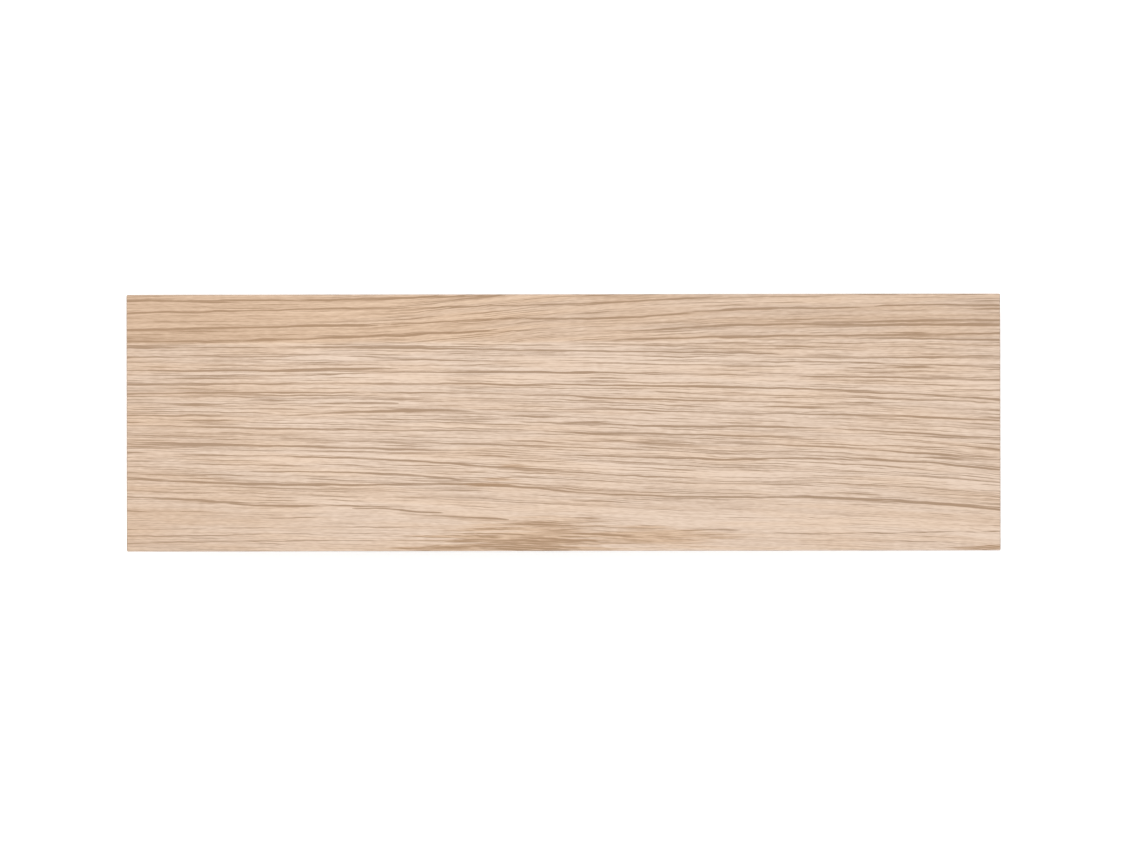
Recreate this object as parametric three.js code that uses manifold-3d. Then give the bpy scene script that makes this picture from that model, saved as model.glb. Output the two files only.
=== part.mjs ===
// Clip-fixed oak threshold strip, in millimetres.
//
// Frame: +X along the doorway, +Y from the front floor to the back floor, +Z up.
// The origin is the middle of the underside, on the subfloor between the two floor coverings.
//
// A base rail is stuck to the subfloor in the gap between two floors. Its two upright jaws are
// toothed inside. The cap is a solid oak strip with an aluminium clip carrier screwed under it,
// whose two legs press down between the jaws until the cushions under the oak meet the floors.

import * as THREE from "three";
import { mergeVertices } from "three/addons/utils/BufferGeometryUtils.js";
import Module from "manifold-3d";

const wasm = await Module();
wasm.setup();

// ---- Driving dimensions ----

const STRIP_LENGTH = 238;
const STRIP_WIDTH = 70;
const OAK_THICKNESS = 8;
const WALKING_HEIGHT = 20; // the oak's top face above the subfloor, with the cap pressed home
const ARRIS = 0.25; // the eased edge all round the oak
const BOND = 0.1; // a line of adhesive, or the air between two faces screwed together

const PROFILE_LENGTH = STRIP_LENGTH - 8; // both aluminium profiles stop short of the oak's ends
const TOOTH = { depth: 0.3, height: 1, pitch: 1.2, count: 5, undercut: 0.15 };
const JAW_GAP = 9.9; // between the jaws, before their teeth
const LEG_SPAN = 8.5; // over the carrier's two legs, before their teeth
const FOOT_CLEARANCE = 0.3; // between the legs' feet and the channel's floor

const FLANGE_WIDTH = 26; // the clip carrier
const FLANGE_THICKNESS = 1.5;
const LEG_THICKNESS = 1.2;

const RAIL_WIDTH = 32; // the base rail
const RAIL_THICKNESS = 1.6;
const JAW_THICKNESS = 1.3;
const JAW_HEIGHT = 7.4;

const TAPE = { width: 12, thickness: 0.8, inset: 0.5 };
const CUSHION = { width: 8, thickness: 2, inset: 2 };

const HOUSING = { width: FLANGE_WIDTH + 0.6, depth: 1 }; // seats the carrier's flange
const RELIEF = { width: 3, depth: 2, from: 17 }; // saw kerfs that keep the oak from cupping

const SCREW = { head: 5.5, shank: 2.6, length: 6.5, coneHeight: 1.45, tipHeight: 1.6 };
const SCREW_DRIVE = { reach: 2.6, slot: 0.6, depth: 0.8 };
const SCREW_CLEARANCE = 0.3;
const SCREW_PITCH = 90; // three pairs along the strip
const SCREW_SIDE = 8.8; // from the strip's centre line
const FLOOR_HOLE = { top: 8.4, pitch: 150 }; // a 90 degree countersink right through the rail
const ROUND_SIDES = 32;

// ---- Heights that follow ----

const OAK_UNDERSIDE = WALKING_HEIGHT - OAK_THICKNESS;
const RAIL_UNDERSIDE = TAPE.thickness + BOND;
const CHANNEL_FLOOR = RAIL_UNDERSIDE + RAIL_THICKNESS;
const FLANGE_TOP = OAK_UNDERSIDE + HOUSING.depth - BOND;
const FLANGE_UNDERSIDE = FLANGE_TOP - FLANGE_THICKNESS;
const LEG_LENGTH = FLANGE_UNDERSIDE - CHANNEL_FLOOR - FOOT_CLEARANCE;

// ---- Materials ----

const oak = new THREE.MeshStandardMaterial({ color: 0xd8bea7, roughness: 0.55, metalness: 0 });
const aluminium = new THREE.MeshStandardMaterial({ color: 0xc9cbcd, roughness: 0.35, metalness: 1 });
const zincSteel = new THREE.MeshStandardMaterial({ color: 0xb4b6b8, roughness: 0.3, metalness: 1 });
const foamRubber = new THREE.MeshStandardMaterial({ color: 0x2b2b2d, roughness: 0.9, metalness: 0 });
const foamTape = new THREE.MeshStandardMaterial({ color: 0xe9e7e1, roughness: 0.85, metalness: 0 });

// ---- Shaping ----

// Closes a half outline, given from the centre line round to the centre line, with its mirror image.
function symmetricShape(half) {
  const other = half.filter(([y]) => y > 0).map(([y, z]) => [-y, z]).reverse();
  return new THREE.Shape([...half, ...other].map(([y, z]) => new THREE.Vector2(y, z)));
}

// Extrudes a section drawn in (Y, Z) along X, with its middle at X = 0.
function alongStrip(shape, length, endEase = 0) {
  const geometry = new THREE.ExtrudeGeometry(shape, {
    depth: length - 2 * endEase,
    steps: 1,
    bevelEnabled: endEase > 0,
    bevelThickness: endEase,
    bevelSize: endEase,
    bevelOffset: -endEase,
    bevelSegments: 1,
  });
  geometry.translate(0, 0, endEase - length / 2);
  const toX = new THREE.Matrix4().makeBasis(
    new THREE.Vector3(0, 1, 0),
    new THREE.Vector3(0, 0, 1),
    new THREE.Vector3(1, 0, 0),
  );
  return geometry.applyMatrix4(toX);
}

// Turns a (radius, height) profile about Z.
function turned(profile) {
  const points = profile.map(([r, z]) => new THREE.Vector2(r, z));
  return new THREE.LatheGeometry(points, ROUND_SIDES).rotateX(Math.PI / 2);
}

function toSolid(geometry) {
  const bare = new THREE.BufferGeometry();
  bare.setAttribute("position", geometry.getAttribute("position"));
  bare.setIndex(geometry.getIndex());
  const merged = mergeVertices(bare, 1e-4);
  const mesh = new wasm.Mesh({
    numProp: 3,
    vertProperties: merged.getAttribute("position").array,
    triVerts: new Uint32Array(merged.getIndex().array),
  });
  return new wasm.Manifold(mesh);
}

function toGeometry(solid) {
  const mesh = solid.getMesh();
  const shared = new THREE.BufferGeometry();
  shared.setAttribute("position", new THREE.BufferAttribute(mesh.vertProperties, 3));
  shared.setIndex(new THREE.BufferAttribute(mesh.triVerts, 1));
  const faceted = shared.toNonIndexed();
  faceted.computeVertexNormals();
  return faceted;
}

// Cuts the same tool out of a body at each [x, y].
function cutAt(geometry, tool, places) {
  let body = toSolid(geometry);
  for (const [x, y] of places) {
    body = body.subtract(toSolid(tool.clone().translate(x, y, 0)));
  }
  return toGeometry(body);
}

// Saw teeth down one face at y, from height z, whose tips are "drop" below their upper roots.
function teethDown(y, z, depth, drop) {
  const points = [];
  for (let i = 0; i < TOOTH.count; i += 1) {
    const top = z - i * TOOTH.pitch;
    points.push([y, top], [y + depth, top - drop], [y, top - TOOTH.height]);
  }
  return points;
}

// ---- Places that several pieces share ----

const screwPlaces = [-1, 0, 1].flatMap((step) =>
  [-1, 1].map((side) => [step * SCREW_PITCH, side * SCREW_SIDE]),
);
const floorHolePlaces = [-0.5, 0.5].map((step) => [step * FLOOR_HOLE.pitch, 0]);

// ---- The cap ----

// Solid oak, with a housing for the carrier and a relief kerf under each wing. Z = 0 is its underside.
function oakStrip() {
  const edge = STRIP_WIDTH / 2;
  const section = symmetricShape([
    [0, HOUSING.depth],
    [HOUSING.width / 2, HOUSING.depth],
    [HOUSING.width / 2, 0],
    [RELIEF.from, 0],
    [RELIEF.from, RELIEF.depth],
    [RELIEF.from + RELIEF.width, RELIEF.depth],
    [RELIEF.from + RELIEF.width, 0],
    [edge - ARRIS, 0],
    [edge, ARRIS],
    [edge, OAK_THICKNESS - ARRIS],
    [edge - ARRIS, OAK_THICKNESS],
    [0, OAK_THICKNESS],
  ]);
  const pilotRadius = SCREW.shank / 2 + SCREW_CLEARANCE;
  const pilotTop = FLANGE_UNDERSIDE - OAK_UNDERSIDE + SCREW.length + SCREW_CLEARANCE;
  const pilot = turned([
    [0, 0],
    [pilotRadius, 0],
    [pilotRadius, pilotTop - 1],
    [0, pilotTop],
  ]);
  const blank = alongStrip(section, STRIP_LENGTH, ARRIS);
  const mesh = new THREE.Mesh(cutAt(blank, pilot, screwPlaces), oak);
  mesh.name = "oak_strip";
  mesh.position.z = OAK_UNDERSIDE;
  return mesh;
}

// Aluminium extrusion: a flange with two sprung legs, whose teeth outside catch upwards.
// Z = 0 is the flange's underside.
function clipCarrier() {
  const outer = LEG_SPAN / 2;
  const inner = outer - LEG_THICKNESS;
  const section = symmetricShape([
    [0, FLANGE_THICKNESS],
    [FLANGE_WIDTH / 2, FLANGE_THICKNESS],
    [FLANGE_WIDTH / 2, 0.5],
    [FLANGE_WIDTH / 2 - 0.5, 0],
    [outer + 0.5, 0],
    [outer, -0.5],
    ...teethDown(outer, -1.9, TOOTH.depth, TOOTH.undercut),
    [outer, 0.5 - LEG_LENGTH],
    [outer - 0.4, -LEG_LENGTH],
    [inner + 0.2, -LEG_LENGTH],
    [inner, 0.2 - LEG_LENGTH],
    [inner, -0.4],
    [inner - 0.4, 0],
    [0, 0],
  ].reverse());
  const sink = SCREW.head / 2 + SCREW_CLEARANCE / 2;
  const through = SCREW.shank / 2 + SCREW_CLEARANCE;
  const countersink = turned([
    [0, -1],
    [sink, -1],
    [sink, 0],
    [through, sink - through],
    [through, FLANGE_THICKNESS + 1],
    [0, FLANGE_THICKNESS + 1],
  ]);
  const blank = alongStrip(section, PROFILE_LENGTH);
  const mesh = new THREE.Mesh(cutAt(blank, countersink, screwPlaces), aluminium);
  mesh.name = "clip_carrier";
  mesh.position.z = FLANGE_UNDERSIDE;
  return mesh;
}

// Countersunk self-tapping screw, driven upwards. Z = 0 is the flat of its head.
function carrierScrew(number, [x, y]) {
  const blank = turned([
    [0, 0],
    [SCREW.head / 2 - 0.1, 0],
    [SCREW.head / 2, 0.1],
    [SCREW.shank / 2, SCREW.coneHeight],
    [SCREW.shank / 2, SCREW.length - SCREW.tipHeight],
    [0, SCREW.length],
  ]);
  const arm = (width, depth) => new THREE.BoxGeometry(width, depth, 2 * SCREW_DRIVE.depth);
  const drive = toSolid(arm(SCREW_DRIVE.reach, SCREW_DRIVE.slot)).add(
    toSolid(arm(SCREW_DRIVE.slot, SCREW_DRIVE.reach)),
  );
  const mesh = new THREE.Mesh(toGeometry(toSolid(blank).subtract(drive)), zincSteel);
  mesh.name = `carrier_screw_${number}`;
  mesh.position.set(x, y, FLANGE_UNDERSIDE);
  return mesh;
}

// Foam rubber strip under one wing of the oak, which rests on the floor covering.
function cushion(name, side) {
  const geometry = new THREE.BoxGeometry(STRIP_LENGTH, CUSHION.width, CUSHION.thickness - BOND);
  const mesh = new THREE.Mesh(geometry, foamRubber);
  mesh.name = name;
  mesh.position.y = side * (STRIP_WIDTH / 2 - CUSHION.inset - CUSHION.width / 2);
  mesh.position.z = OAK_UNDERSIDE - (CUSHION.thickness + BOND) / 2;
  return mesh;
}

// ---- The base ----

// Aluminium extrusion: a flat foot with two upright jaws, whose teeth inside catch downwards.
// Z = 0 is its underside.
function baseRail() {
  const inner = JAW_GAP / 2;
  const outer = inner + JAW_THICKNESS;
  const top = RAIL_THICKNESS + JAW_HEIGHT;
  const section = symmetricShape([
    [0, 0],
    [RAIL_WIDTH / 2 - 0.3, 0],
    [RAIL_WIDTH / 2, 0.3],
    [RAIL_WIDTH / 2, 0.7],
    [RAIL_WIDTH / 2 - 1.5, RAIL_THICKNESS],
    [outer + 0.6, RAIL_THICKNESS],
    [outer, RAIL_THICKNESS + 0.6],
    [outer, top - 0.4],
    [outer - 0.3, top],
    [inner + 0.5, top],
    ...teethDown(inner, top - 0.7, -TOOTH.depth, TOOTH.height - TOOTH.undercut),
    [inner, RAIL_THICKNESS],
    [0, RAIL_THICKNESS],
  ]);
  const rim = FLOOR_HOLE.top / 2;
  const countersink = turned([
    [0, -1],
    [rim - RAIL_THICKNESS - 1, -1],
    [rim, RAIL_THICKNESS],
    [rim, RAIL_THICKNESS + 1],
    [0, RAIL_THICKNESS + 1],
  ]);
  const blank = alongStrip(section, PROFILE_LENGTH);
  const mesh = new THREE.Mesh(cutAt(blank, countersink, floorHolePlaces), aluminium);
  mesh.name = "base_rail";
  mesh.position.z = RAIL_UNDERSIDE;
  return mesh;
}

// Double-sided foam tape under one half of the rail's foot.
function tape(name, side) {
  const geometry = new THREE.BoxGeometry(PROFILE_LENGTH, TAPE.width, TAPE.thickness);
  const mesh = new THREE.Mesh(geometry, foamTape);
  mesh.name = name;
  mesh.position.y = side * (RAIL_WIDTH / 2 - TAPE.inset - TAPE.width / 2);
  mesh.position.z = TAPE.thickness / 2;
  return mesh;
}

// ---- Assembly ----

const cap = new THREE.Group();
cap.add(oakStrip(), clipCarrier());
screwPlaces.forEach((place, i) => cap.add(carrierScrew(i + 1, place)));
cap.add(cushion("front_cushion", -1), cushion("back_cushion", 1));

const base = new THREE.Group();
base.add(baseRail(), tape("front_tape", -1), tape("back_tape", 1));

const thresholdStrip = new THREE.Group();
thresholdStrip.add(cap, base);

export default thresholdStrip;
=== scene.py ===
"""A clip-fixed oak threshold strip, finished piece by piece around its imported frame.

Everything is in metres on the frame's own axes, +X along the doorway and +Z up. Wood figure is
laid out in millimetres, because that is how a joiner would measure it.
"""

import math

import bmesh
import bpy
from bpy.props import FloatProperty, FloatVectorProperty, PointerProperty
from bpy.types import Operator, Panel, PropertyGroup
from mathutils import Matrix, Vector


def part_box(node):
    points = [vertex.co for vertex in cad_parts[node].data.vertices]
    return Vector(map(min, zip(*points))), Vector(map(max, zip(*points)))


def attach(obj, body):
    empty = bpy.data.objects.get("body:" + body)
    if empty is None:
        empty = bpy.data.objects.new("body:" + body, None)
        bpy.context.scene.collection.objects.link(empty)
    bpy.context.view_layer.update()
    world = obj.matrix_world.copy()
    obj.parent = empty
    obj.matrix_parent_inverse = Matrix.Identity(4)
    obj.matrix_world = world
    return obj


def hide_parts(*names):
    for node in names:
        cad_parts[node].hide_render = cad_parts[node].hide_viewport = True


bl_info = {
    "name": "Oak threshold strip",
    "version": (1, 0, 0),
    "blender": (4, 5, 0),
    "location": "3D View > Sidebar > Threshold",
    "description": "Builds a clip-fixed oak threshold strip around its frame",
    "category": "Object",
}

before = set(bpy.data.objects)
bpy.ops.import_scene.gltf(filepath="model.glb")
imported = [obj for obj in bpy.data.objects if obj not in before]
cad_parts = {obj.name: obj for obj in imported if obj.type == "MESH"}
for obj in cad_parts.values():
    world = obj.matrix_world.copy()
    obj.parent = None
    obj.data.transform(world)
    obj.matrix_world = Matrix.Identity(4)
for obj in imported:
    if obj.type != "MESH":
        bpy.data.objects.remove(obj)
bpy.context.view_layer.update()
MM = 0.001
OAK_LOW, OAK_HIGH = (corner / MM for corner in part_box("oak_strip"))

# ---- The oak's figure, in millimetres from the middle of the strip ----

# The pith ran below the front edge, so the rings lie nearly flat there and stand up at the back.
PITH_Y = OAK_LOW.y - 3
PITH_DEPTH = 60  # below the walking face
RING_WIDTH = 1.5
RAY_SIZE = (0.35, 8, 60)  # round the pith, out from it and along the board

# A straight seam of colour near the back edge. Behind it the wood is browner.
SEAM_Y = (21.7, 22.3, 22.9)  # at the left end, the middle and the right end
SEAM_BLUR = 0.8
RISE_BEHIND_SEAM = ((-119, 0), (-60, 0.3), (-25, 2.6), (0, 4.8), (60, 6.9), (119, 7.5))
DROP_BEFORE_SEAM = ((-119, 0), (-64, 1.3), (-23, 2.6), (0, 3.6), (27, 4.8), (80, 6.9), (119, 9.2))

# The growth rings that show as bold pore lines. Each point is x, y and how dark the line is there,
# from 0 to 1.
PORE_LINE_HALF_WIDTH = 0.46  # of a line as dark as 1, and less where it is fainter
PORE_LINES = (
    # behind the seam
    ((-119, 33.4, 0.8), (-60, 33.6, 0.7), (-30, 34.4, 0.9), (-15, 34.7, 0.0)),
    (
        (-119, 30.0, 0.6), (-85, 30.6, 0.8), (-40, 31.3, 0.7),
        (-10, 32.0, 0.7), (25, 33.3, 0.8), (45, 34.5, 0.0),
    ),
    ((-119, 25.4, 1.0), (-95, 25.8, 1.0), (-60, 26.5, 0.9), (-50, 26.6, 0.0)),
    (
        (-48, 26.8, 0.0), (-35, 27.4, 0.8), (-20, 28.2, 0.9),
        (15, 28.5, 0.8), (45, 30.6, 0.9), (86, 31.2, 0.0),
    ),
    ((84, 31.6, 0.0), (92, 31.8, 0.8), (119, 31.8, 0.9)),
    (
        (-119, 22.2, 1.0), (-85, 22.5, 0.8), (-60, 23.2, 0.8),
        (-44, 24.0, 1.0), (-20, 24.9, 0.6), (8, 25.0, 0.0),
    ),
    ((0, 24.8, 0.0), (22, 25.1, 0.8), (35, 25.9, 1.0), (65, 26.9, 0.9), (119, 27.7, 1.0)),
    ((60, 26.7, 0.0), (75, 26.6, 0.8), (119, 26.4, 0.9)),
    ((2, 22.4, 0.0), (33, 23.1, 1.0), (55, 23.4, 1.0), (75, 23.6, 0.9), (119, 24.1, 0.9)),
    ((78, 22.6, 0.0), (90, 22.7, 0.8), (119, 22.5, 0.9)),
    # between the seam and the middle
    ((-119, 20.4, 1.0), (-50, 20.4, 0.7), (-5, 19.6, 0.8), (40, 19.0, 0.9), (60, 18.6, 0.0)),
    (
        (-119, 18.1, 1.0), (-85, 18.2, 0.5), (-60, 18.3, 0.7), (-45, 17.5, 0.8),
        (0, 16.6, 0.3), (60, 16.6, 0.6), (119, 14.9, 0.6),
    ),
    ((-114, 14.4, 0.0), (-98, 14.3, 0.9), (-58, 14.6, 1.0), (-44, 14.8, 0.0)),
    (
        (-119, 13.1, 0.7), (-72, 12.9, 0.6), (-50, 13.6, 0.6),
        (-2, 13.6, 0.9), (28, 13.4, 0.5), (119, 11.3, 0.9),
    ),
    (
        (-119, 10.5, 1.0), (-80, 10.7, 0.7), (-25, 10.5, 0.7),
        (35, 9.8, 0.8), (85, 8.2, 0.8), (119, 6.0, 1.0),
    ),
    (
        (-119, 8.0, 0.6), (-45, 8.2, 0.7), (-8, 7.6, 0.6),
        (18, 6.4, 0.8), (67, 5.2, 0.5), (119, 3.2, 0.7),
    ),
    ((-119, 5.5, 0.4), (-80, 5.1, 0.5), (-50, 5.4, 0.9), (-44, 5.3, 0.0)),
    ((-119, 3.1, 0.6), (-90, 2.8, 0.6), (-78, 2.6, 0.0)),
    ((-76, 2.0, 0.0), (-62, 2.7, 0.7), (-38, 3.3, 0.9), (-18, 2.7, 0.0)),
    ((-6, 3.7, 0.0), (10, 3.6, 0.9), (48, 2.7, 0.5), (80, 2.0, 0.7), (119, 0.5, 0.5)),
    # between the middle and the smooth front
    (
        (-119, 0.4, 0.9), (-85, 0.2, 0.5), (0, -2.5, 0.6),
        (45, -3.6, 0.9), (80, -4.4, 0.5), (119, -7.4, 0.8),
    ),
    ((18, -0.9, 0.0), (32, -1.1, 0.9), (68, -1.4, 0.7), (112, -4.0, 0.6), (119, -4.3, 0.5)),
    (
        (-119, -5.7, 1.0), (-97, -5.8, 0.9), (-50, -6.9, 0.8), (15, -9.3, 0.7),
        (27, -9.7, 1.0), (90, -10.6, 0.8), (119, -13.1, 1.0),
    ),
    ((0, -5.0, 0.3), (40, -5.6, 0.6), (77, -7.0, 0.5), (94, -8.2, 0.9), (119, -9.6, 0.4)),
    (
        (-119, -8.0, 1.0), (-106, -8.4, 0.3), (-50, -9.9, 0.8),
        (-18, -12.0, 0.8), (30, -15.2, 0.5), (119, -17.0, 0.3),
    ),
    ((-92, -13.4, 0.0), (-76, -13.2, 0.6), (-52, -13.9, 0.8), (-38, -14.6, 0.9), (-24, -16.2, 0.0)),
    (
        (-119, -14.9, 1.0), (-90, -16.5, 0.9), (-58, -16.9, 0.9), (-22, -16.9, 1.0),
        (5, -19.0, 0.8), (30, -20.2, 0.8), (80, -20.8, 1.0), (119, -24.0, 1.0),
    ),
    (
        (-119, -20.2, 0.8), (-100, -21.0, 0.9), (-82, -22.4, 1.0),
        (-58, -22.6, 0.9), (-46, -23.0, 0.0),
    ),
    ((-58, -23.2, 0.0), (-50, -23.3, 0.9), (-40, -24.2, 0.9), (-32, -24.6, 0.0)),
    ((-46, -24.9, 0.0), (-36, -25.3, 0.9), (-27, -25.6, 1.0), (-14, -26.3, 0.0)),
    # the smooth front, where only thin lines are left
    ((-119, -23.9, 0.50), (-100, -24.2, 0.40), (-90, -24.4, 0.0)),
    ((-94, -26.3, 0.0), (-78, -25.9, 0.50), (-60, -25.6, 0.50), (-48, -25.6, 0.0)),
    ((-119, -29.0, 0.60), (-80, -28.5, 0.45), (-40, -28.3, 0.50), (-26, -28.4, 0.0)),
    ((-119, -30.9, 0.45), (-62, -30.2, 0.55), (-38, -30.2, 0.0)),
    ((-119, -32.7, 0.60), (-62, -32.0, 0.50), (-30, -32.3, 0.0)),
    ((40, -25.9, 0.0), (62, -26.0, 0.50), (80, -26.1, 0.0)),
    ((60, -27.7, 0.0), (80, -27.8, 0.50), (119, -28.3, 0.45)),
    ((34, -29.0, 0.0), (41, -29.2, 0.65), (50, -29.3, 0.0)),
    ((56, -30.2, 0.0), (74, -30.3, 0.70), (119, -29.7, 0.45)),
    ((44, -32.2, 0.0), (64, -32.3, 0.50), (84, -32.3, 0.50), (112, -32.6, 0.0)),
)

DROP_REACH = 36  # how far before the seam the fibres reach their full drop

# Only thin lines are left in front of this edge: from x, to x, and its y at each.
SMOOTH_EDGE = (-30, 40, -20.5, -15.5)
SMOOTH_BLUR = (0.5, -2.0)  # from behind the edge to in front of it

# A paler patch near the middle: its middle along X and Y, and its reach along X and Y.
PALE_PATCH = (12, 15, 50, 9)

# The flame, where the saw just touched a ring, and a lesser one in the corner: the middle along X
# and Y, the reach along X and Y, and the strength of each brown patch.
FLAME_PATCHES = (
    (-8, -31.9, 27, 3.3, 1.0),
    (-5, -28.2, 17, 2.8, 0.55),
    (21, -31.4, 24, 2.6, 0.65),
    (-32, -34.3, 18, 1.2, 0.7),
    (114, -34.4, 9, 1.2, 0.7),
    (-14, -11.8, 6, 0.5, 0.9),
    (-18, -15.4, 5, 0.4, 0.7),
    (-20, -16.9, 7, 0.6, 0.8),
)
FLAME_EDGE = (1.2, 0.4)  # in shares of the reach: where a patch begins and where it is full
FLAME_RAGGEDNESS = 1.8

EARLYWOOD_SHARE = 0.45  # of each ring

# How far each kind of wave carries the lines, from side to side.
SWINGS = {"waves": 1.2, "wander": 0.5, "kinks": 0.35}

# The random marks: how long each is along the grain, how thick across it, how many finer octaves
# it has, and a seed of its own.
MARKS = {
    "waves": (90, 14, 1, 0),
    "wander": (20, 3, 1, 1),
    "kinks": (5, 1.6, 0, 7),
    "bands": (110, 7, 1, 8),
    "patches": (50, 3.5, 1, 2),
    "blush": (30, 2.5, 1, 11),
    "short_pores": (18, 0.24, 0, 3),
    "long_pores": (60, 0.26, 0, 9),
    "breaks": (7, 0.5, 0, 13),
    "hairs": (34, 0.22, 0, 4),
    "flecks": (1.8, 0.27, 0, 5),
    "licks": (8, 0.22, 0, 12),
    "rags": (15, 0.36, 0, 6),
}

# The marks with clear edges: where the noise starts to show as one, and where it is fully there.
MARK_EDGES = {
    "short_pores": (0.60, 0.80),
    "long_pores": (0.66, 0.86),
    "breaks": (0.30, 0.60),
    "hairs": (0.50, 0.72),
    "licks": (0.47, 0.62),
}

# How much more readily pores open in each kind of wood.
PORE_EAGERNESS = {
    "early": 0.08,
    "patches": 0.10,
    "bold": 0.34,
    "flame": 0.10,
    "behind": -0.05,
    "plain_smooth": -0.14,
    "everywhere": 0.01,
}

# How much each thing darkens the wood: 0 is light oak, MIDDLE_SHADE is middle oak, 1 is dark oak.
MIDDLE_SHADE = 0.33
DARKENING = {
    "ring_shade": 0.12,
    "early": 0.06,
    "bands": 0.18,
    "hairs": 0.30,
    "flecks": 0.46,
    "behind": 0.16,
    "smooth": 0.05,
    "pale": -0.04,
    "pores": 0.90,
    "everywhere": 0.078,
}
DARKER_LEFT_END = (-50, -119, 0.0, 0.14)  # from x, to x, and the darkening at each
IN_FLAME = {"licks": 0.60, "everywhere": 0.24}
IN_BOLD_LINES = {"behind": 0.20, "breaks": 0.50, "everywhere": 0.12}
END_GRAIN = {"rays": -0.16, "early": 0.34, "everywhere": 0.30}
RAY_EDGES = (0.50, 0.72)
LACQUER_ROUGHNESS = (0.42, 0.62)  # on the palest wood and in the darkest pores

# How much of the warm tint each kind of wood has.
WARMER_BEHIND_SEAM = (60, -80, 0.25, 1.0)  # from x, to x, and the warmth at each
WARMER_LEFT_END = (-50, -119, 0.0, 0.25)
WARMTH = {"flame": 1.1, "pale": -0.2}
BLUSH = (0.25, 0.75, -0.16, 0.42)  # from the noise, to the noise, and the warmth at each

# ---- Edges of the finished copies ----

WELD_REACH = 0.001 * MM
FLAT_WITHIN = math.radians(0.5)  # facets closer than this to one plane become one face
ROUNDED_FROM = math.radians(25)
ROUNDING_STEPS = 3
SHARP_FROM = math.radians(35)

# ---- The carrier screws, in metres ----

SCREW_STEPS = 40  # round the screw
SCREW_ROWS = 120  # along it
SCREW_CORE = 1.0 * MM  # the radius inside the thread
SCREW_RIM = 0.25 * MM  # the straight rim of the head
SCREW_POINT = 1.7 * MM  # the length of the point
SCREW_TIP = 0.02 * MM
THREAD_STEEPNESS = 2.2
RECESS_REACH = 2.6 * MM
RECESS_SLOT = 0.6 * MM
RECESS_DEPTH = 0.8 * MM
RECESS_TAPER = 0.55

# ---- The stage ----

FLOOR_RADIUS = 6
FLOOR_DROP = 0.05 * MM  # below the tapes, so that the two faces don't flicker
FLOOR_GLOW = 0.5
SKY_LIGHT = 0.72
SKY_EXTRA_WHITE = 0.28  # only where the sky itself is seen

# The softboxes: name, place, size in metres and power in watts.
SOFTBOXES = (
    ("key_softbox", (-0.55, 0.45, 0.9), 0.7, 4.0),
    ("fill_softbox", (0.8, -0.6, 0.7), 0.8, 2.0),
)

LENS_MM = 100
CAMERA_OFF_MIDDLE = (0.41 * MM, -0.25 * MM)
CAMERA_ROLL = math.radians(-0.085)


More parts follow.
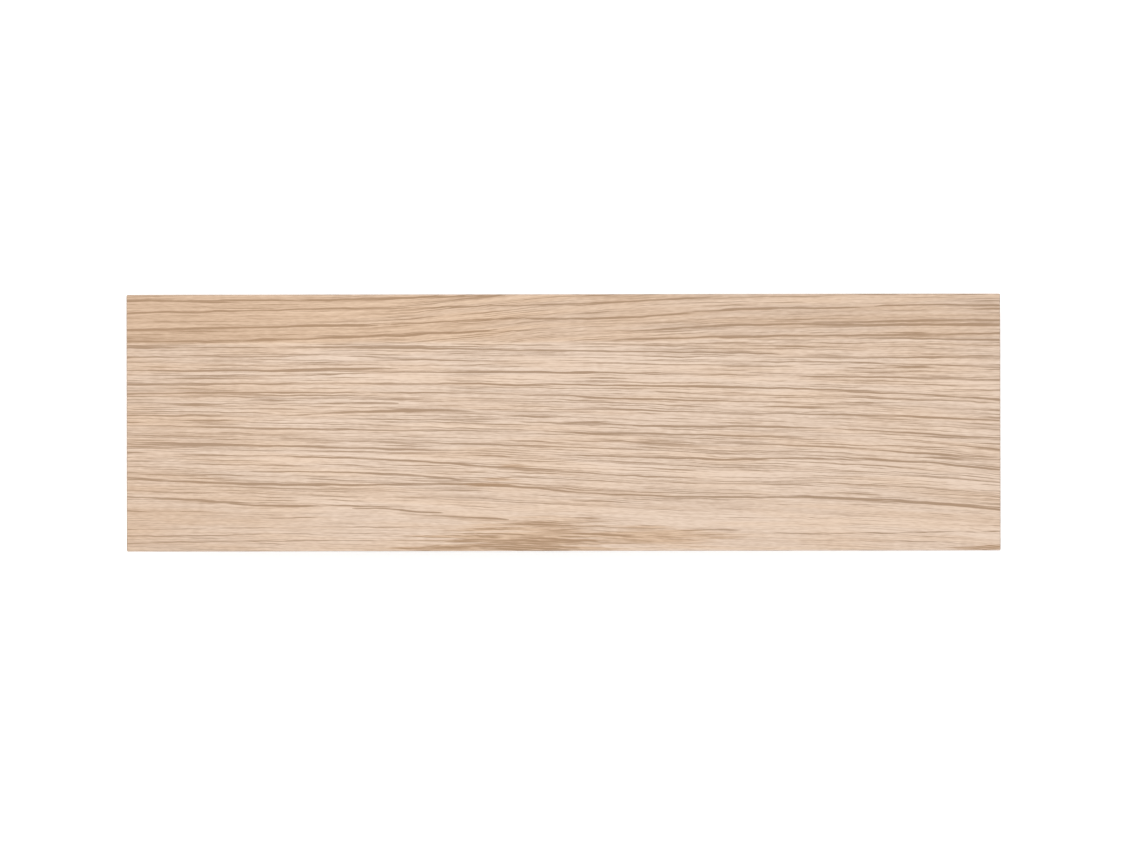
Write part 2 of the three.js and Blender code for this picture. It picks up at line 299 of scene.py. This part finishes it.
class Wiring:
    """Adds nodes to one material and joins them. A value is a number, a tuple or a node's output."""

    def __init__(self, tree):
        self.tree = tree

    def feed(self, socket, value):
        if isinstance(value, bpy.types.NodeSocket):
            self.tree.links.new(value, socket)
        else:
            socket.default_value = value

    def node(self, kind, inputs=None, **options):
        made = self.tree.nodes.new(kind)
        for key, value in options.items():
            setattr(made, key, value)
        for name, value in (inputs or {}).items():
            self.feed(made.inputs[name], value)
        return made

    def math(self, operation, *values, clamp=False):
        made = self.node("ShaderNodeMath", operation=operation, use_clamp=clamp)
        for socket, value in zip(made.inputs, values):
            self.feed(socket, value)
        return made.outputs[0]

    def add(self, *values):
        total = values[0]
        for value in values[1:]:
            total = self.math("ADD", total, value)
        return total

    def times(self, a, b):
        return self.math("MULTIPLY", a, b)

    def rest(self, share):
        """What a share leaves of 1."""
        return self.math("SUBTRACT", 1.0, share)

    def swing(self, noise, reach):
        """Noise around 0.5, turned into a swing that spans reach around 0."""
        return self.math("MULTIPLY_ADD", noise, reach, -reach / 2)

    def weigh(self, weights, **parts):
        """The sum of the parts, each times its weight, and of the weight called everywhere."""
        total = weights["everywhere"]
        for name, part in parts.items():
            total = self.math("MULTIPLY_ADD", part, weights[name], total)
        return total

    def vector(self, operation, *values):
        made = self.node("ShaderNodeVectorMath", operation=operation)
        for socket, value in zip(made.inputs, values):
            self.feed(socket, value)
        return made.outputs[0]

    def join(self, x, y, z):
        return self.node("ShaderNodeCombineXYZ", {"X": x, "Y": y, "Z": z}).outputs[0]

    def split(self, vector):
        return self.node("ShaderNodeSeparateXYZ", {"Vector": vector}).outputs[:3]

    def place(self):
        """The point on the piece, in millimetres on the frame's axes."""
        spot = self.node("ShaderNodeTexCoord").outputs["Object"]
        return self.vector("MULTIPLY", spot, (1 / MM, 1 / MM, 1 / MM))

    def ramp(self, value, start, end, low=0.0, high=1.0):
        """Goes smoothly from low to high while value goes from start to end."""
        numbers = {"Value": value, "From Min": start, "From Max": end, "To Min": low, "To Max": high}
        return self.node("ShaderNodeMapRange", numbers, interpolation_type="SMOOTHSTEP").outputs[0]

    def float_curve(self, share, points):
        """A smooth curve through (share, result) points, listed in order and all from 0 to 1."""
        bent = self.node("ShaderNodeFloatCurve", {"Value": share})
        line = bent.mapping.curves[0]
        for _ in points[2:]:
            line.points.new(0.5, 0.5)
        for spot, place in zip(line.points, points):
            spot.location = place
        bent.mapping.update()
        return bent.outputs[0]

    def curve(self, value, points):
        """A smooth curve through (value, result) points that are listed in order."""
        (low, least), (high, most) = points[0], points[-1]
        share = self.math("MULTIPLY_ADD", value, 1 / (high - low), -low / (high - low))
        shares = [
            ((across - low) / (high - low), (up - least) / (most - least)) for across, up in points
        ]
        return self.math("MULTIPLY_ADD", self.float_curve(share, shares), most - least, least)

    def noise(self, place, size, detail=2.0, roughness=0.5, seed=0.0):
        """Noise around 0.5 whose lumps measure about size along X, Y and Z."""
        scaled = self.vector("MULTIPLY_ADD", place, [1 / s for s in size], [seed * 7.3] * 3)
        numbers = {"Vector": scaled, "Scale": 1.0, "Detail": detail, "Roughness": roughness}
        return self.node("ShaderNodeTexNoise", numbers).outputs[0]

    def cells(self, place, size):
        """The distance from the nearest of many scattered points, about size apart."""
        scaled = self.vector("MULTIPLY", place, [1 / size] * 3)
        return self.node("ShaderNodeTexVoronoi", {"Vector": scaled, "Scale": 1.0}).outputs["Distance"]

    def blend(self, share, a, b):
        numbers = {"Factor": share, "A": a, "B": b}
        made = self.tree.nodes.new("ShaderNodeMix")
        made.data_type = "RGBA"
        for socket in [s for s in made.inputs if s.enabled]:
            self.feed(socket, numbers[socket.name])
        return [s for s in made.outputs if s.enabled][0]

    def bump(self, height, depth):
        """Surface relief: height runs from 0 to 1, and depth is what 1 measures, in metres."""
        made = self.node("ShaderNodeBump", {"Height": height, "Strength": 1.0, "Distance": depth})
        return made.outputs[0]


def shader(name, **constants):
    """A new material with a lone Principled shader, whose constant inputs are set by name."""
    material = bpy.data.materials.new(name)
    material.use_nodes = True
    surface = material.node_tree.nodes["Principled BSDF"]
    for key, value in constants.items():
        surface.inputs[key.replace("_", " ")].default_value = value
    return material, Wiring(material.node_tree), surface


# ---- Oak ----


def patch_reach(w, x, y, middle_x, middle_y, reach_x, reach_y):
    """How far each point is out from an oval's middle: 0 there and 1 on the oval."""
    across = w.math("DIVIDE", w.math("SUBTRACT", x, middle_x), reach_x)
    up = w.math("DIVIDE", w.math("SUBTRACT", y, middle_y), reach_y)
    return w.math("SQRT", w.add(w.times(across, across), w.times(up, up)))


class OakFigure:
    """The figure at each point of the board, worked out once for its colour, gloss and relief."""

    def __init__(self, w):
        self.w = w
        self.place = w.place()
        self.x, self.y, self.z = w.split(self.place)
        facing_x, _, facing_z = w.split(w.node("ShaderNodeTexCoord").outputs["Normal"])
        flat = w.math("ABSOLUTE", facing_z)
        self.ends = w.ramp(w.math("ABSOLUTE", facing_x), 0.5, 0.8)
        # Painted shade: the eased edges, tilted between flat and upright, are tinted greyer and darker
        # for the shade along them.
        self.arris_shade = w.times(w.ramp(flat, 0.3, 0.5), w.ramp(flat, 0.95, 0.85))
        self.follow_fibres()
        self.grow_rings()
        self.lay_patches()
        self.bold = w.times(self.bold_pore_lines(), w.rest(self.ends))
        self.dark = w.add(self.face_shade(), w.times(self.ends, self.end_shade()))

    def marks(self, name, place=None):
        """One kind of random mark, around 0.5. It follows the grain unless it is given a place."""
        length, thickness, octaves, seed = MARKS[name]
        return self.w.noise(place or self.grain, (length, thickness, thickness), octaves, seed=seed)

    def strokes(self, name, *eagerness):
        """One kind of mark with clear edges: 0 where there is none and 1 where it is fully there."""
        return self.w.ramp(self.w.add(self.marks(name), *eagerness), *MARK_EDGES[name])

    def follow_fibres(self):
        """Takes the waves and the run of the fibres out of each point's place."""
        w = self.w
        waves, wander, kinks = (
            w.swing(self.marks(name, self.place), reach) for name, reach in SWINGS.items()
        )
        self.y_line = w.add(self.y, wander, kinks)
        y_wavy = w.add(self.y_line, waves)

        left, middle, right = SEAM_Y
        seam = w.math("MULTIPLY_ADD", self.x, (right - left) / (OAK_HIGH.x - OAK_LOW.x), middle)
        before_seam = w.math("SUBTRACT", seam, y_wavy)
        self.behind = w.ramp(before_seam, SEAM_BLUR, -SEAM_BLUR)
        share = w.math("DIVIDE", before_seam, DROP_REACH, clamp=True)
        drop = w.times(w.curve(self.x, DROP_BEFORE_SEAM), share)
        rise = w.times(w.curve(self.x, RISE_BEHIND_SEAM), w.math("GREATER_THAN", y_wavy, seam))
        self.y_grain = w.math("SUBTRACT", w.add(y_wavy, drop), rise)
        self.grain = w.join(self.x, self.y_grain, self.z)

    def grow_rings(self):
        """Rings round the pith, each with its own shade, and earlywood where each one starts."""
        w = self.w
        self.from_pith_y = w.math("SUBTRACT", self.y_grain, PITH_Y)
        self.from_pith_z = w.math("SUBTRACT", self.z, OAK_HIGH.z - PITH_DEPTH)
        squares = [w.times(away, away) for away in (self.from_pith_y, self.from_pith_z)]
        self.radius = w.math("SQRT", w.add(*squares))
        rings = w.times(w.math("SUBTRACT", self.radius, PITH_DEPTH), 1 / RING_WIDTH)
        self.early = w.rest(w.ramp(w.math("FRACT", rings), 0.0, EARLYWOOD_SHARE))
        shade = w.node("ShaderNodeTexWhiteNoise", {"W": w.math("FLOOR", rings)}, noise_dimensions="1D")
        self.ring_shade = w.swing(shade.outputs[0], 1.0)

    def lay_patches(self):
        """The flame, the smooth front round it and the paler patch near the middle."""
        w = self.w
        rags = w.swing(self.marks("rags", self.place), FLAME_RAGGEDNESS)
        self.flame = 0.0
        for *oval, strength in FLAME_PATCHES:
            reach = w.math("SUBTRACT", patch_reach(w, self.x, self.y, *oval), rags)
            patch = w.times(w.ramp(reach, *FLAME_EDGE), strength)
            self.flame = w.math("MAXIMUM", self.flame, patch)
        behind_edge = w.math("SUBTRACT", self.y_grain, w.ramp(self.x, *SMOOTH_EDGE))
        self.smooth = w.times(w.ramp(behind_edge, *SMOOTH_BLUR), w.rest(self.flame))
        self.pale = w.ramp(patch_reach(w, self.x, self.y, *PALE_PATCH), 1.0, 0.0)

    def bold_pore_lines(self):
        """How dark the bold pore lines make each point, from 0 to 1."""
        w = self.w
        length, width = OAK_HIGH.x - OAK_LOW.x, OAK_HIGH.y - OAK_LOW.y
        along = w.math("MULTIPLY_ADD", self.x, 1 / length, 0.5)
        up = w.math("MULTIPLY_ADD", self.y_line, 1 / width, 0.5)
        dark = 0.0
        for points in PORE_LINES:
            route = [(x / length + 0.5, y / width + 0.5) for x, y, _ in points]
            shades = [(x / length + 0.5, darkness) for x, _, darkness in points]
            off = w.math("ABSOLUTE", w.math("SUBTRACT", up, w.float_curve(along, route)))
            shade = w.float_curve(along, shades)
            line = w.math("MULTIPLY_ADD", off, -width / PORE_LINE_HALF_WIDTH, shade)
            dark = w.math("MAXIMUM", dark, line)
        return w.math("MINIMUM", dark, 1.0)

    def pores(self):
        """Open pores, closest together where a ring starts, along the bold rings and in the flame."""
        w = self.w
        eager = w.weigh(
            PORE_EAGERNESS,
            early=self.early,
            patches=w.swing(self.marks("patches"), 1.0),
            bold=self.bold,
            flame=self.flame,
            behind=self.behind,
            plain_smooth=w.times(self.smooth, w.rest(self.bold)),
        )
        short_pores = self.strokes("short_pores", eager)
        return w.math("MAXIMUM", short_pores, self.strokes("long_pores", eager))

    def face_shade(self):
        """How dark the wood is along the grain."""
        w = self.w
        shade = w.weigh(
            DARKENING,
            ring_shade=self.ring_shade,
            early=self.early,
            bands=w.swing(self.marks("bands"), 1.0),
            hairs=self.strokes("hairs"),
            flecks=w.swing(self.marks("flecks"), 1.0),
            behind=self.behind,
            smooth=self.smooth,
            pale=self.pale,
            pores=self.pores(),
        )
        in_flame = w.weigh(IN_FLAME, licks=self.strokes("licks"))
        in_lines = w.weigh(IN_BOLD_LINES, behind=self.behind, breaks=self.strokes("breaks"))
        return w.add(
            shade,
            w.times(self.flame, in_flame),
            w.times(self.bold, in_lines),
            w.ramp(self.x, *DARKER_LEFT_END),
        )

    def end_shade(self):
        """How much darker the sawn ends are, with the rings as arcs and the rays as lines across."""
        w = self.w
        round_pith = w.times(w.math("ARCTAN2", self.from_pith_y, self.from_pith_z), PITH_DEPTH)
        lines = w.noise(w.join(round_pith, self.radius, self.x), RAY_SIZE, detail=0.0, seed=10)
        rays = w.ramp(lines, *RAY_EDGES)
        return w.weigh(END_GRAIN, rays=rays, early=w.times(self.early, self.early))

    def warmth(self):
        """How much of the warm tint the wood has, from 0 to 1."""
        w = self.w
        warm = w.add(
            w.times(self.behind, w.ramp(self.x, *WARMER_BEHIND_SEAM)),
            w.times(self.flame, WARMTH["flame"]),
            w.times(self.pale, WARMTH["pale"]),
            w.ramp(self.x, *WARMER_LEFT_END),
            w.ramp(self.marks("blush"), *BLUSH),
        )
        return w.math("MAXIMUM", w.math("MINIMUM", warm, 1.0), 0.0)


def oak_material(sizes, colours):
    """Pale plain-sawn oak under satin lacquer, solid through the board so that every face agrees."""
    material, w, surface = shader("lacquered_oak", IOR=1.45, Specular_IOR_Level=0.35)
    figure = OakFigure(w)
    ramp = w.node("ShaderNodeValToRGB", {"Fac": figure.dark})
    stops = ramp.color_ramp.elements
    stops.new(MIDDLE_SHADE)
    for stop, colour in zip(stops, (colours.oak_light, colours.oak_middle, colours.oak_dark)):
        stop.color = (*colour, 1)
    tint = w.blend(figure.warmth(), (1, 1, 1, 1), (*colours.oak_warmth, 1))
    # Painted shade on the eased edges, as a greyer, darker tint of the colour.
    tint = w.blend(figure.arris_shade, tint, (*colours.oak_arris_shade, 1))
    w.feed(surface.inputs["Base Color"], w.vector("MULTIPLY", ramp.outputs[0], tint))
    w.feed(surface.inputs["Roughness"], w.ramp(figure.dark, 0.0, 1.0, *LACQUER_ROUGHNESS))
    w.feed(surface.inputs["Normal"], w.bump(w.rest(figure.dark), sizes.pore_depth))
    return material


# ---- Metal, foam and tape ----


def aluminium_material(sizes, colours):
    """Aluminium as it comes from the press: fine lines along it and a faint bloom of oxide."""
    material, w, surface = shader("mill_aluminium", Metallic=1.0)
    place = w.place()
    lines = w.noise(place, (160, 0.16, 0.16), detail=3.0, roughness=0.6)
    bloom = w.noise(place, (30, 12, 12), seed=1)
    shade = w.add(w.times(lines, 0.5), w.times(bloom, 0.5))
    dull = [0.8 * part for part in colours.aluminium]
    colour = w.blend(w.ramp(shade, 0.3, 0.7), (*dull, 1), (*colours.aluminium, 1))
    w.feed(surface.inputs["Base Color"], colour)
    w.feed(surface.inputs["Roughness"], w.ramp(shade, 0.3, 0.7, low=0.46, high=0.3))
    w.feed(surface.inputs["Normal"], w.bump(lines, sizes.die_line_depth))
    return material


def zinc_material(sizes, colours):
    """Bright zinc plate with a faint mottle."""
    material, w, surface = shader("zinc_steel", Metallic=1.0)
    mottle = w.noise(w.place(), (0.8, 0.8, 0.8), detail=3.0)
    dull = [0.82 * part for part in colours.zinc]
    colour = w.blend(w.ramp(mottle, 0.3, 0.7), (*dull, 1), (*colours.zinc, 1))
    w.feed(surface.inputs["Base Color"], colour)
    w.feed(surface.inputs["Roughness"], w.ramp(mottle, 0.3, 0.7, low=0.36, high=0.22))
    w.feed(surface.inputs["Normal"], w.bump(mottle, sizes.die_line_depth))
    return material


def foam_material(sizes, colours):
    """Closed-cell foam rubber: fine cells, a little lighter on their rims where the dust is, with
    their pits left darker as painted shade.
    """
    material, w, surface = shader("foam_rubber", Specular_IOR_Level=0.25)
    place = w.place()
    cells = w.ramp(w.cells(place, 0.4), 0.1, 0.6)
    dust = w.noise(place, (0.9, 0.9, 0.9), detail=3.0, roughness=0.6)
    dust_and_rim_highlight = [0.035 + part for part in colours.foam]
    # Painted highlight on the cells' rims, mixed with the dust; the pits keep the darker foam colour
    # as painted shade.
    share = w.times(w.ramp(dust, 0.35, 0.75), cells)
    w.feed(surface.inputs["Base Color"], w.blend(share, (*colours.foam, 1), (*dust_and_rim_highlight, 1)))
    w.feed(surface.inputs["Roughness"], w.ramp(dust, 0.3, 0.7, low=0.85, high=0.97))
    w.feed(surface.inputs["Normal"], w.bump(cells, sizes.cell_depth))
    return material


def tape_material(sizes, colours):
    """White acrylic foam tape, marked by the fine weave of the paper that has been peeled off."""
    material, w, surface = shader("foam_tape", Specular_IOR_Level=0.4)
    place = w.place()
    x, y, _ = w.split(place)
    threads = [w.math("SINE", w.times(w.math(way, x, y), 7.0)) for way in ("ADD", "SUBTRACT")]
    weave = w.times(*threads)
    cloud = w.add(w.noise(place, (24, 3, 3)), w.times(weave, 0.12))
    grit = w.add(w.noise(place, (0.25, 0.25, 0.25), seed=1), w.times(weave, 0.5))
    yellowed = (0.97 * colours.tape[0], 0.95 * colours.tape[1], 0.88 * colours.tape[2])
    colour = w.blend(w.ramp(cloud, 0.3, 0.75), (*colours.tape, 1), (*yellowed, 1))
    w.feed(surface.inputs["Base Color"], colour)
    w.feed(surface.inputs["Roughness"], w.ramp(cloud, 0.3, 0.7, low=0.66, high=0.54))
    w.feed(surface.inputs["Normal"], w.bump(grit, sizes.cell_depth))
    return material


def floor_material(colours):
    """The studio's pale floor, with just enough glow to stay even."""
    material, w, surface = shader("studio_floor", Roughness=0.9, Specular_IOR_Level=0.1)
    surface.inputs["Emission Color"].default_value = (*colours.floor, 1)
    surface.inputs["Emission Strength"].default_value = FLOOR_GLOW
    cloud = w.noise(w.place(), (900, 900, 900), detail=1.0)
    greyer = [0.985 * part for part in colours.floor]
    w.feed(surface.inputs["Base Color"], w.blend(cloud, (*greyer, 1), (*colours.floor, 1)))
    return material


# ---- Meshes ----


def new_piece(name, mesh):
    piece = bpy.data.objects.new(name, mesh)
    bpy.context.scene.collection.objects.link(piece)
    return piece


def finished_copy(node, name, rounding):
    """A new piece with a CAD node's shape, its flat facets joined and its edges rounded over."""
    shape = bmesh.new()
    shape.from_mesh(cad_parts[node].data)
    bmesh.ops.remove_doubles(shape, verts=shape.verts, dist=WELD_REACH)
    bmesh.ops.dissolve_limit(
        shape, angle_limit=FLAT_WITHIN, verts=shape.verts, edges=shape.edges
    )
    mesh = bpy.data.meshes.new(name)
    shape.to_mesh(mesh)
    shape.free()
    piece = new_piece(name, mesh)
    bevel = piece.modifiers.new("Rounded edges", "BEVEL")
    bevel.width = rounding
    bevel.segments = ROUNDING_STEPS
    bevel.limit_method = "ANGLE"
    bevel.angle_limit = ROUNDED_FROM
    piece.data = bpy.data.meshes.new_from_object(
        piece.evaluated_get(bpy.context.evaluated_depsgraph_get())
    )
    piece.modifiers.clear()
    bpy.data.meshes.remove(mesh)
    piece.data.name = name
    smooth(piece.data)
    return piece


def smooth(mesh):
    """Shades a mesh smoothly, apart from its sharp corners."""
    mesh.shade_smooth()
    mesh.set_sharp_from_angle(angle=SHARP_FROM)


def stands_for(piece, node, body, material):
    piece.data.materials.clear()
    piece.data.materials.append(material)
    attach(piece, body)
    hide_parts(node)


def screw_radius(sizes, head, length, z, turned):
    """The screw's radius at a height, at a share of a turn round it."""
    cone = min(head, head + SCREW_RIM - z)
    to_tip = max(min(1.0, (length - z) / SCREW_POINT), 0.02)
    wind = (z / sizes.thread_pitch - turned) % 1
    ridge = max(0.0, 1 - abs(2 * wind - 1) * THREAD_STEEPNESS) * sizes.thread_depth
    return max(cone, (SCREW_CORE + ridge) * to_tip ** 0.7)


def screw_mesh(sizes):
    """A countersunk screw, head down, whose thread is one ridge wound round a tapered core."""
    low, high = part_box("carrier_screw_1")
    head = (high.x - low.x) / 2
    length = high.z - low.z
    shape = bmesh.new()
    rings = []
    for row in range(SCREW_ROWS + 1):
        z = length * row / SCREW_ROWS
        ring = []
        for step in range(SCREW_STEPS):
            turned = step / SCREW_STEPS
            angle = 2 * math.pi * turned
            radius = screw_radius(sizes, head, length, z, turned) if row < SCREW_ROWS else SCREW_TIP
            ring.append(shape.verts.new((radius * math.cos(angle), radius * math.sin(angle), z)))
        rings.append(ring)
    for below, above in zip(rings, rings[1:]):
        for step in range(SCREW_STEPS):
            after = (step + 1) % SCREW_STEPS
            shape.faces.new((below[step], below[after], above[after], above[step]))
    shape.faces.new(reversed(rings[0]))
    shape.faces.new(rings[-1])
    mesh = bpy.data.meshes.new("carrier_screw")
    shape.to_mesh(mesh)
    shape.free()
    return mesh


def cross_recess():
    """A tapered cross that is cut out of a screw's head."""
    shape = bmesh.new()
    for width, length in ((RECESS_REACH, RECESS_SLOT), (RECESS_SLOT, RECESS_REACH)):
        for vert in bmesh.ops.create_cube(shape, size=1)["verts"]:
            across, along, up = vert.co
            taper = 1.0 if up < 0 else RECESS_TAPER
            vert.co = (across * width * taper, along * length * taper, up * 2 * RECESS_DEPTH)
    mesh = bpy.data.meshes.new("cross_recess")
    shape.to_mesh(mesh)
    shape.free()
    return new_piece("cross_recess", mesh)


# ---- What a user would change ----


class ThresholdSizes(PropertyGroup):
    oak_rounding: FloatProperty(
        name="Oak rounding", description="Rounding over of the oak's eased edges",
        default=0.08 * MM, min=0, unit="LENGTH", precision=5,
    )
    metal_rounding: FloatProperty(
        name="Metal rounding", description="Rounding over of the aluminium profiles' edges",
        default=0.05 * MM, min=0, unit="LENGTH", precision=5,
    )
    foam_rounding: FloatProperty(
        name="Foam rounding", description="Rounding over of the cushions' edges",
        default=0.35 * MM, min=0, unit="LENGTH", precision=5,
    )
    tape_rounding: FloatProperty(
        name="Tape rounding", description="Rounding over of the tapes' edges",
        default=0.12 * MM, min=0, unit="LENGTH", precision=5,
    )
    pore_depth: FloatProperty(
        name="Pore depth", description="Depth of the oak's pores under the lacquer",
        default=0.03 * MM, min=0, unit="LENGTH", precision=5,
    )
    die_line_depth: FloatProperty(
        name="Die line depth", description="Depth of the press lines along the aluminium",
        default=0.01 * MM, min=0, unit="LENGTH", precision=5,
    )
    cell_depth: FloatProperty(
        name="Cell depth", description="Depth of the foam's cells",
        default=0.08 * MM, min=0, unit="LENGTH", precision=5,
    )
    thread_pitch: FloatProperty(
        name="Thread pitch", description="Rise of the carrier screws' thread in one turn",
        default=1.1 * MM, min=0.2 * MM, unit="LENGTH", precision=5,
    )
    thread_depth: FloatProperty(
        name="Thread depth", description="Height of the carrier screws' thread",
        default=0.3 * MM, min=0, unit="LENGTH", precision=5,
    )
    board_share: FloatProperty(
        name="Board's share", description="How much of the view's width the oak takes up",
        default=77.36, min=10, max=100, subtype="PERCENTAGE",
    )


def colour_setting(name, description, default):
    return FloatVectorProperty(
        name=name, description=description, default=default, subtype="COLOR", min=0, max=1
    )


class ThresholdColours(PropertyGroup):
    oak_light: colour_setting("Light oak", "The palest wood between the pores", (0.863, 0.681, 0.544))
    oak_middle: colour_setting("Middle oak", "The wood's usual shade", (0.709, 0.535, 0.408))
    oak_dark: colour_setting("Dark oak", "The bottom of the darkest pores", (0.440, 0.298, 0.200))
    oak_warmth: colour_setting("Oak warmth", "The tint of the browner wood", (1.0, 0.938, 0.850))
    # Painted shade for the eased edges, not a colour of the oak itself.
    oak_arris_shade: colour_setting("Oak arris", "The greyer tint of the eased edges", (0.86, 0.88, 0.92))
    aluminium: colour_setting("Aluminium", "The carrier and the rail", (0.80, 0.81, 0.82))
    zinc: colour_setting("Zinc", "The carrier screws", (0.66, 0.68, 0.72))
    foam: colour_setting("Foam rubber", "The cushions under the oak", (0.028, 0.028, 0.030))
    tape: colour_setting("Foam tape", "The tapes under the rail", (0.82, 0.81, 0.77))
    floor: colour_setting("Floor", "The studio floor", (0.95, 0.95, 0.95))


def settings(context):
    return context.scene.threshold_sizes, context.scene.threshold_colours


# ---- Operators ----


class THRESHOLD_OT_oak_strip(Operator):
    """Make the solid oak strip"""

    bl_idname = "threshold.oak_strip"
    bl_label = "Oak strip"
    bl_options = {"REGISTER", "UNDO"}

    def execute(self, context):
        sizes, colours = settings(context)
        piece = finished_copy("oak_strip", "oak_board", sizes.oak_rounding)
        stands_for(piece, "oak_strip", "cap", oak_material(sizes, colours))
        return {"FINISHED"}


class THRESHOLD_OT_profiles(Operator):
    """Make the aluminium carrier and rail"""

    bl_idname = "threshold.profiles"
    bl_label = "Aluminium profiles"
    bl_options = {"REGISTER", "UNDO"}

    def execute(self, context):
        sizes, colours = settings(context)
        metal = aluminium_material(sizes, colours)
        profiles = (("clip_carrier", "carrier_profile", "cap"), ("base_rail", "rail_profile", "base"))
        for node, name, body in profiles:
            piece = finished_copy(node, name, sizes.metal_rounding)
            stands_for(piece, node, body, metal)
        return {"FINISHED"}


class THRESHOLD_OT_carrier_screws(Operator):
    """Make the six screws that hold the carrier"""

    bl_idname = "threshold.carrier_screws"
    bl_label = "Carrier screws"
    bl_options = {"REGISTER", "UNDO"}

    def execute(self, context):
        sizes, colours = settings(context)
        metal = zinc_material(sizes, colours)
        blank = new_piece("screw_blank", screw_mesh(sizes))
        cutter = cross_recess()
        cut = blank.modifiers.new("Cross recess", "BOOLEAN")
        cut.operation = "DIFFERENCE"
        cut.solver = "EXACT"
        cut.use_self = True
        cut.object = cutter
        finished = bpy.data.meshes.new_from_object(
            blank.evaluated_get(bpy.context.evaluated_depsgraph_get())
        )
        finished.name = "carrier_screw"
        smooth(finished)
        bpy.data.objects.remove(blank)
        bpy.data.objects.remove(cutter)
        for node in sorted(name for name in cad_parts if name.startswith("carrier_screw")):
            low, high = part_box(node)
            piece = new_piece(node.replace("carrier_screw", "wood_screw"), finished)
            piece.location = ((low.x + high.x) / 2, (low.y + high.y) / 2, low.z)
            stands_for(piece, node, "cap", metal)
        return {"FINISHED"}


class THRESHOLD_OT_cushions(Operator):
    """Make the foam rubber cushions under the oak's wings"""

    bl_idname = "threshold.cushions"
    bl_label = "Cushions"
    bl_options = {"REGISTER", "UNDO"}

    def execute(self, context):
        sizes, colours = settings(context)
        foam = foam_material(sizes, colours)
        for side in ("front", "back"):
            piece = finished_copy(f"{side}_cushion", f"{side}_foam_strip", sizes.foam_rounding)
            stands_for(piece, f"{side}_cushion", "cap", foam)
        return {"FINISHED"}


class THRESHOLD_OT_tapes(Operator):
    """Make the double-sided tapes under the rail"""

    bl_idname = "threshold.tapes"
    bl_label = "Tapes"
    bl_options = {"REGISTER", "UNDO"}

    def execute(self, context):
        sizes, colours = settings(context)
        foam = tape_material(sizes, colours)
        for side in ("front", "back"):
            piece = finished_copy(f"{side}_tape", f"{side}_tape_strip", sizes.tape_rounding)
            stands_for(piece, f"{side}_tape", "base", foam)
        return {"FINISHED"}


class THRESHOLD_OT_stage(Operator):
    """Set the floor, the lights and the camera"""

    bl_idname = "threshold.stage"
    bl_label = "Stage"
    bl_options = {"REGISTER", "UNDO"}

    def execute(self, context):
        sizes, colours = settings(context)
        self.lay_floor(colours)
        self.light_sky()
        for softbox in SOFTBOXES:
            self.hang_softbox(*softbox)
        self.place_camera(sizes)
        bpy.context.scene.view_settings.view_transform = "Standard"
        return {"FINISHED"}

    def lay_floor(self, colours):
        shape = bmesh.new()
        bmesh.ops.create_circle(shape, cap_ends=True, segments=96, radius=FLOOR_RADIUS)
        mesh = bpy.data.meshes.new("studio_floor")
        shape.to_mesh(mesh)
        shape.free()
        floor = new_piece("studio_floor", mesh)
        floor.location.z = -FLOOR_DROP
        floor.data.materials.append(floor_material(colours))

    def light_sky(self):
        """Soft light from all round, from a sky that looks as white as the floor."""
        world = bpy.data.worlds.new("studio_sky")
        world.use_nodes = True
        sky = world.node_tree.nodes["Background"]
        sky.inputs["Color"].default_value = (1, 1, 1, 1)
        w = Wiring(world.node_tree)
        looked_at = w.node("ShaderNodeLightPath").outputs["Is Camera Ray"]
        strength = w.math("MULTIPLY_ADD", looked_at, SKY_EXTRA_WHITE, SKY_LIGHT)
        w.feed(sky.inputs["Strength"], strength)
        bpy.context.scene.world = world

    def hang_softbox(self, name, place, size, power):
        light = bpy.data.lights.new(name, "AREA")
        light.shape = "SQUARE"
        light.size = size
        light.energy = power
        lamp = new_piece(name, light)
        lamp.location = place
        lamp.rotation_euler = Vector(place).to_track_quat("Z", "Y").to_euler()

    def place_camera(self, sizes):
        """Looks straight down, a hair off the board's middle and a hair off square."""
        lens = bpy.data.cameras.new("camera")
        lens.lens = LENS_MM
        lens.clip_end = 20
        camera = new_piece("camera", lens)
        view_width = (OAK_HIGH.x - OAK_LOW.x) * MM / (sizes.board_share / 100)
        distance = view_width / (2 * math.tan(lens.angle / 2))
        camera.location = (*CAMERA_OFF_MIDDLE, OAK_HIGH.z * MM + distance)
        camera.rotation_euler = (0, 0, CAMERA_ROLL)
        bpy.context.scene.camera = camera


OPERATORS = (
    THRESHOLD_OT_oak_strip,
    THRESHOLD_OT_profiles,
    THRESHOLD_OT_carrier_screws,
    THRESHOLD_OT_cushions,
    THRESHOLD_OT_tapes,
    THRESHOLD_OT_stage,
)


class THRESHOLD_PT_pieces(Panel):
    """The strip's settings and pieces"""

    bl_label = "Threshold strip"
    bl_space_type = "VIEW_3D"
    bl_region_type = "UI"
    bl_category = "Threshold"

    def draw(self, context):
        for group in settings(context):
            for name in type(group).__annotations__:
                self.layout.prop(group, name)
        for operator in OPERATORS:
            self.layout.operator(operator.bl_idname)


CLASSES = (ThresholdSizes, ThresholdColours, *OPERATORS, THRESHOLD_PT_pieces)


def register():
    for item in CLASSES:
        bpy.utils.register_class(item)
    bpy.types.Scene.threshold_sizes = PointerProperty(type=ThresholdSizes)
    bpy.types.Scene.threshold_colours = PointerProperty(type=ThresholdColours)


def unregister():
    del bpy.types.Scene.threshold_colours
    del bpy.types.Scene.threshold_sizes
    for item in reversed(CLASSES):
        bpy.utils.unregister_class(item)


def main():
    register()
    for operator in OPERATORS:
        category, name = operator.bl_idname.split(".")
        getattr(getattr(bpy.ops, category), name)()


if __name__ == "__main__":
    main()
